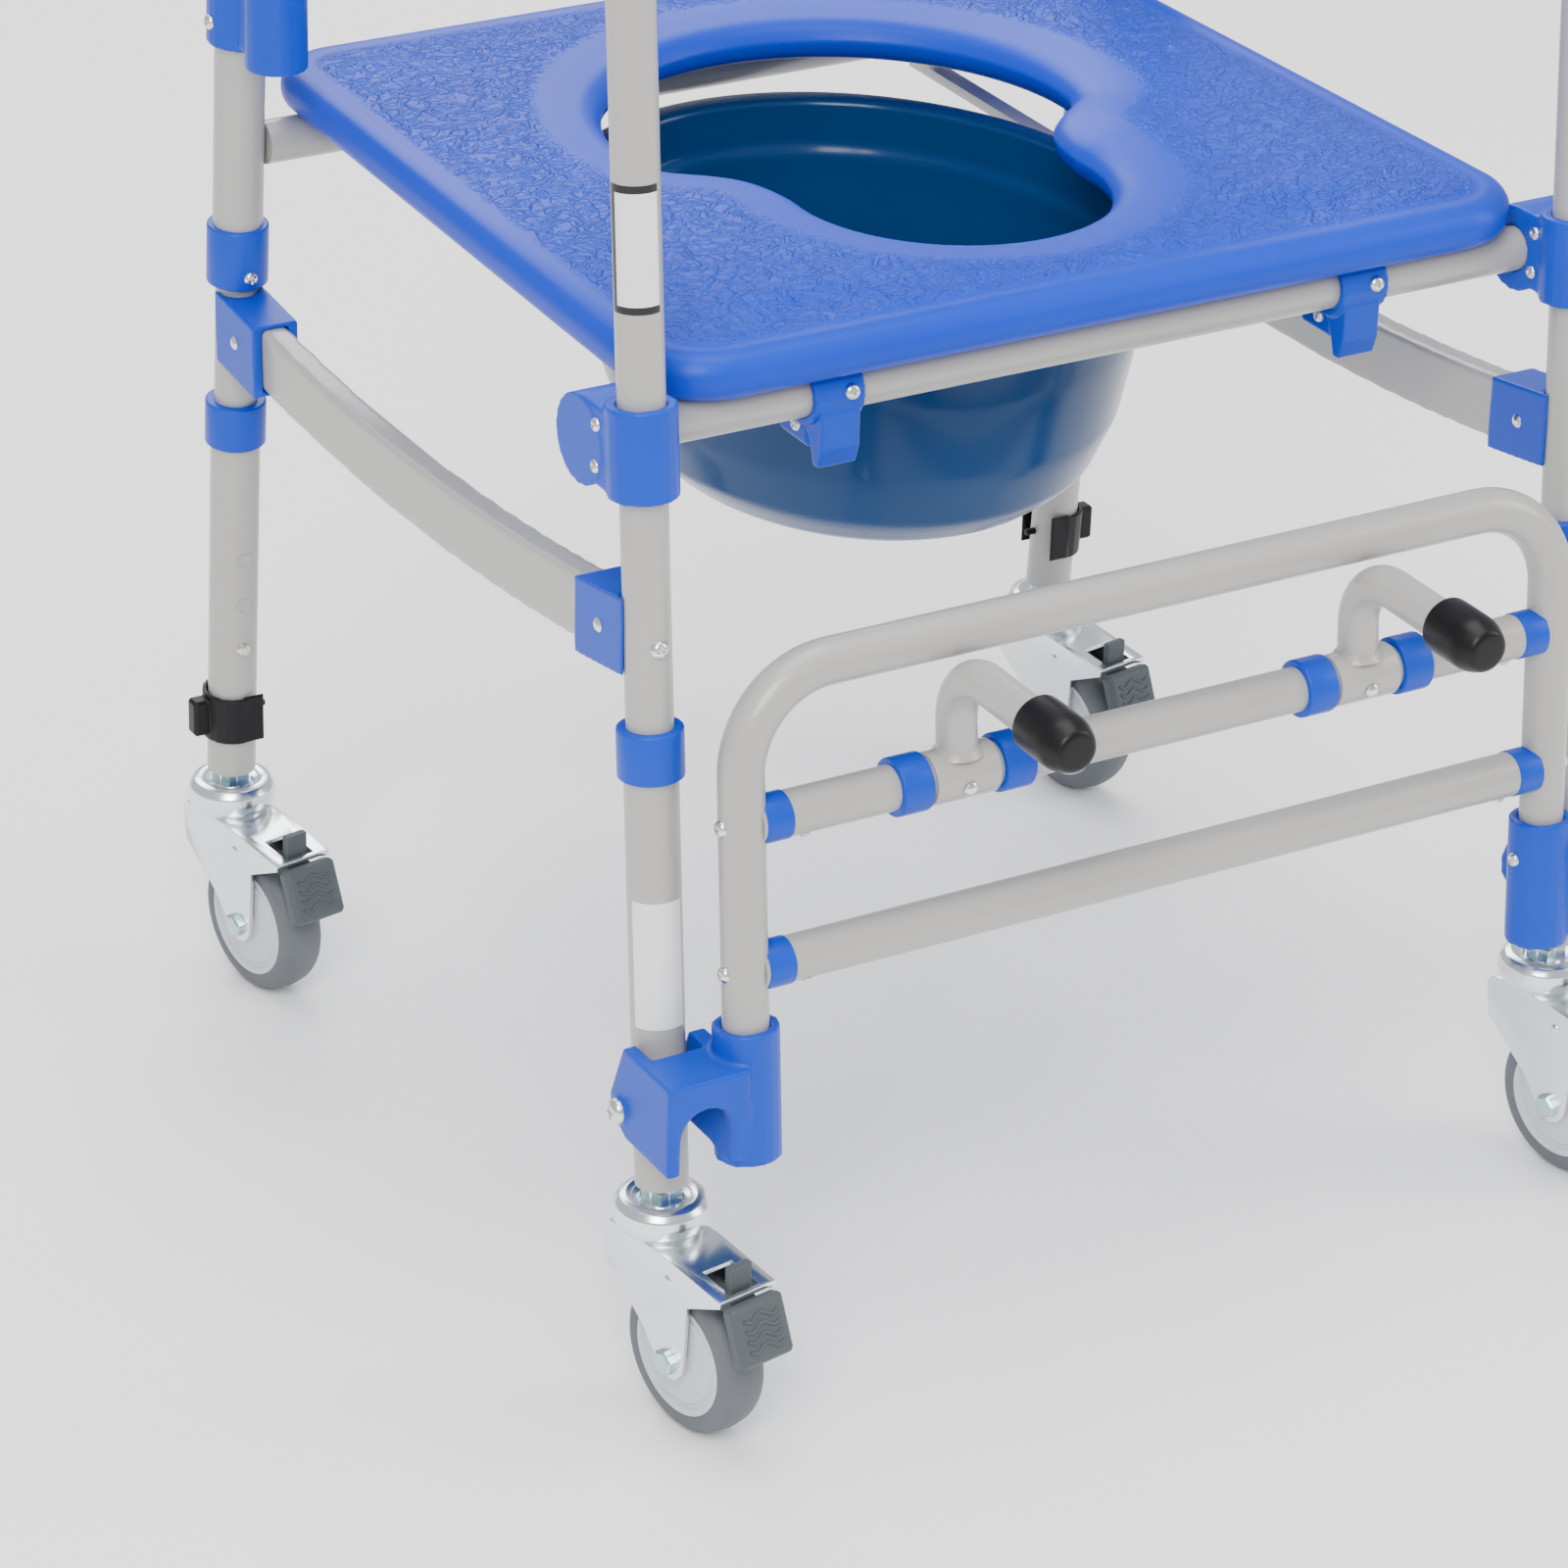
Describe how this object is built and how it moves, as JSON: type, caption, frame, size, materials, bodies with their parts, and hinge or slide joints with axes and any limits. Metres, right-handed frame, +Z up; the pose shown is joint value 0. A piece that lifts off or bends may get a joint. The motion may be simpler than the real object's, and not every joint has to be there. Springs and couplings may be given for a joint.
{
  "type": "wheeled commode chair",
  "caption": "Wheeled commode chair: keyhole seat on a tube frame, sliding bucket, folding footrest with support arms, height-adjustable legs, braked swivel castors",
  "frame": {"origin": "on the floor, below the centre of the whole object", "axes": "+Z up; the front of the chair faces -Y; +X is to the right when looking at the front"},
  "size_m": [0.5684, 0.6983, 0.9382],
  "materials": {
    "tube_paint": "semi-gloss powder coat",
    "blue_plastic": "satin moulded plastic",
    "seat_foam": "grained closed-cell foam skin",
    "pan_plastic": "glossy moulded plastic",
    "zinc_plate": "bright zinc plate",
    "tyre_rubber": "grey rubber tread on a pale hub",
    "pedal_plastic": "grey moulded plastic",
    "black_plastic": "black moulded plastic",
    "button_steel": "passivated steel"
  },
  "bodies": {
    "frame": {"front_upright_left": "tube_paint", "front_upright_right": "tube_paint", "rear_upright_left": "tube_paint", "rear_upright_right": "tube_paint", "rear_upper_collar_left": "blue_plastic", "rear_upper_collar_right": "blue_plastic", "side_bar_left": "tube_paint", "side_bar_right": "tube_paint", "side_bar_front_cap_left": "blue_plastic", "side_bar_front_cap_right": "blue_plastic", "side_bar_rear_cap_left": "blue_plastic", "side_bar_rear_cap_right": "blue_plastic", "seat_tube_housing_left": "blue_plastic", "seat_tube_housing_right": "blue_plastic", "rail_clip_left": "blue_plastic", "rail_clip_right": "blue_plastic", "pan_rail_left": "tube_paint", "pan_rail_right": "tube_paint", "armrest_bracket_left": "blue_plastic", "armrest_bracket_right": "blue_plastic", "armrest_pad_left": "blue_plastic", "armrest_pad_right": "blue_plastic", "hand_grip_left": "black_plastic", "hand_grip_right": "black_plastic", "seat_front_tube": "tube_paint", "rear_cross_tube": "tube_paint", "backrest": "seat_foam"},
    "seat": {"seat": "seat_foam"},
    "bucket": {"bucket": "pan_plastic"},
    "front_legs": {"front_lower_leg_left": "tube_paint", "front_lower_leg_right": "tube_paint", "front_collar_left": "blue_plastic", "front_collar_right": "blue_plastic"},
    "footrest": {"footrest_frame": "tube_paint", "footrest_upper_rail": "tube_paint", "footrest_lower_rail": "tube_paint", "footrest_clamp_left": "blue_plastic", "footrest_clamp_right": "blue_plastic"},
    "rear_leg_left": {"rear_lower_leg_left": "tube_paint", "rear_lower_collar_left": "blue_plastic"},
    "height_button_left": {"height_button_left": "button_steel"},
    "pin_clip_left": {"pin_clip_left": "black_plastic"},
    "support_arm_left": {"support_arm_left": "tube_paint"},
    "rear_leg_right": {"rear_lower_leg_right": "tube_paint", "rear_lower_collar_right": "blue_plastic"},
    "height_button_right": {"height_button_right": "button_steel"},
    "pin_clip_right": {"pin_clip_right": "black_plastic"},
    "support_arm_right": {"support_arm_right": "tube_paint"},
    "castor_front_left": {"castor_fork_front_left": "zinc_plate"},
    "wheel_front_left": {"castor_wheel_front_left": "tyre_rubber"},
    "pedal_front_left": {"castor_pedal_front_left": "pedal_plastic"},
    "castor_front_right": {"castor_fork_front_right": "zinc_plate"},
    "wheel_front_right": {"castor_wheel_front_right": "tyre_rubber"},
    "pedal_front_right": {"castor_pedal_front_right": "pedal_plastic"},
    "castor_rear_left": {"castor_fork_rear_left": "zinc_plate"},
    "wheel_rear_left": {"castor_wheel_rear_left": "tyre_rubber"},
    "pedal_rear_left": {"castor_pedal_rear_left": "pedal_plastic"},
    "castor_rear_right": {"castor_fork_rear_right": "zinc_plate"},
    "wheel_rear_right": {"castor_wheel_rear_right": "tyre_rubber"},
    "pedal_rear_right": {"castor_pedal_rear_right": "pedal_plastic"}
  },
  "joints": [
    {"name": "seat_lift", "type": "slide", "parent": "frame", "child": "seat", "axis": [0, 0, 1], "range_m": [0, 0.16]},
    {"name": "bucket_slide", "type": "slide", "parent": "frame", "child": "bucket", "axis": [0, 1, 0], "range_m": [0, 0.3]},
    {"name": "front_height", "type": "slide", "parent": "frame", "child": "front_legs", "axis": [0, -0.0896, -0.996], "range_m": [0, 0.052]},
    {"name": "rear_height_left", "type": "slide", "parent": "frame", "child": "rear_leg_left", "axis": [0, 0.0599, -0.9982], "range_m": [0, 0.052]},
    {"name": "rear_height_right", "type": "slide", "parent": "frame", "child": "rear_leg_right", "axis": [0, 0.0599, -0.9982], "range_m": [0, 0.052]},
    {"name": "footrest_fold", "type": "hinge", "parent": "front_legs", "child": "footrest", "pos_m": [0, -0.2336, 0.16], "axis": [1, 0, 0], "range_deg": [0, 90]},
    {"name": "support_arm_swing_left", "type": "hinge", "parent": "footrest", "child": "support_arm_left", "pos_m": [-0.112, -0.25055, 0.305], "axis": [1, 0, 0], "range_deg": [0, 90]},
    {"name": "support_arm_swing_right", "type": "hinge", "parent": "footrest", "child": "support_arm_right", "pos_m": [0.112, -0.25055, 0.305], "axis": [1, 0, 0], "range_deg": [0, 90]},
    {"name": "height_button_press_left", "type": "slide", "parent": "frame", "child": "height_button_left", "axis": [0, 1, 0], "range_m": [0, 0.004], "stiffness_N_per_m": 600},
    {"name": "pin_clip_pull_left", "type": "slide", "parent": "rear_leg_left", "child": "pin_clip_left", "axis": [-1, 0, 0], "range_m": [0, 0.038]},
    {"name": "height_button_press_right", "type": "slide", "parent": "frame", "child": "height_button_right", "axis": [0, 1, 0], "range_m": [0, 0.004], "stiffness_N_per_m": 600},
    {"name": "pin_clip_pull_right", "type": "slide", "parent": "rear_leg_right", "child": "pin_clip_right", "axis": [1, 0, 0], "range_m": [0, 0.038]},
    {"name": "castor_swivel_front_left", "type": "hinge", "parent": "front_legs", "child": "castor_front_left", "pos_m": [-0.255, -0.23738, 0.118], "axis": [0, 0, 1], "continuous": true},
    {"name": "wheel_spin_front_left", "type": "hinge", "parent": "castor_front_left", "child": "wheel_front_left", "pos_m": [-0.25014, -0.26495, 0.04], "axis": [0.9848, 0.1736, 0], "continuous": true},
    {"name": "brake_front_left", "type": "hinge", "parent": "castor_front_left", "child": "pedal_front_left", "pos_m": [-0.24632, -0.28662, 0.08], "axis": [0.9848, 0.1736, 0], "range_deg": [0, 8]},
    {"name": "castor_swivel_front_right", "type": "hinge", "parent": "front_legs", "child": "castor_front_right", "pos_m": [0.255, -0.23738, 0.118], "axis": [0, 0, 1], "continuous": true},
    {"name": "wheel_spin_front_right", "type": "hinge", "parent": "castor_front_right", "child": "wheel_front_right", "pos_m": [0.25986, -0.26495, 0.04], "axis": [0.9848, 0.1736, 0], "continuous": true},
    {"name": "brake_front_right", "type": "hinge", "parent": "castor_front_right", "child": "pedal_front_right", "pos_m": [0.26368, -0.28662, 0.08], "axis": [0.9848, 0.1736, 0], "range_deg": [0, 8]},
    {"name": "castor_swivel_rear_left", "type": "hinge", "parent": "rear_leg_left", "child": "castor_rear_left", "pos_m": [-0.255, 0.23292, 0.118], "axis": [0, 0, 1], "continuous": true},
    {"name": "wheel_spin_rear_left", "type": "hinge", "parent": "castor_rear_left", "child": "wheel_rear_left", "pos_m": [-0.25014, 0.20534, 0.04], "axis": [0.9848, 0.1736, 0], "continuous": true},
    {"name": "brake_rear_left", "type": "hinge", "parent": "castor_rear_left", "child": "pedal_rear_left", "pos_m": [-0.24632, 0.18368, 0.08], "axis": [0.9848, 0.1736, 0], "range_deg": [0, 8]},
    {"name": "castor_swivel_rear_right", "type": "hinge", "parent": "rear_leg_right", "child": "castor_rear_right", "pos_m": [0.255, 0.23292, 0.118], "axis": [0, 0, 1], "continuous": true},
    {"name": "wheel_spin_rear_right", "type": "hinge", "parent": "castor_rear_right", "child": "wheel_rear_right", "pos_m": [0.25986, 0.20534, 0.04], "axis": [0.9848, 0.1736, 0], "continuous": true},
    {"name": "brake_rear_right", "type": "hinge", "parent": "castor_rear_right", "child": "pedal_rear_right", "pos_m": [0.26368, 0.18368, 0.08], "axis": [0.9848, 0.1736, 0], "range_deg": [0, 8]}
  ]
}
